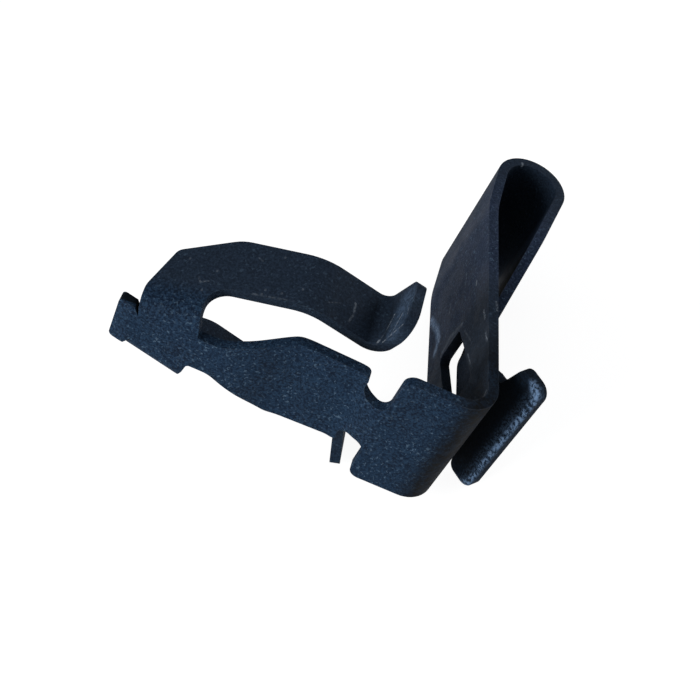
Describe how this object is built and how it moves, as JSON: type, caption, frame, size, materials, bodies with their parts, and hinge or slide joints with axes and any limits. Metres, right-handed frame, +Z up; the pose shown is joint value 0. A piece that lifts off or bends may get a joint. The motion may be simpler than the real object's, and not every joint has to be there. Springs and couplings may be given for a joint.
{
  "type": "trim clip",
  "caption": "Folded spring-steel trim clip: a notched spine with two side arms at one end and a looped leg with a flared wing at the other.",
  "frame": {"origin": "middle of the footprint on the ground, under the middle of the clip", "axes": "+Z up as the clip lies on its far side, on the far arm's tip, the wing and the loop; the spine runs roughly along +X toward the leg; +Y is the way the leg stands out from the spine"},
  "size_m": [0.0304, 0.0288, 0.0177],
  "materials": {
    "coated_steel": "thin blue-black coating, satin and finely speckled"
  },
  "bodies": {
    "root": {"trim_clip": "coated_steel"}
  },
  "joints": []
}
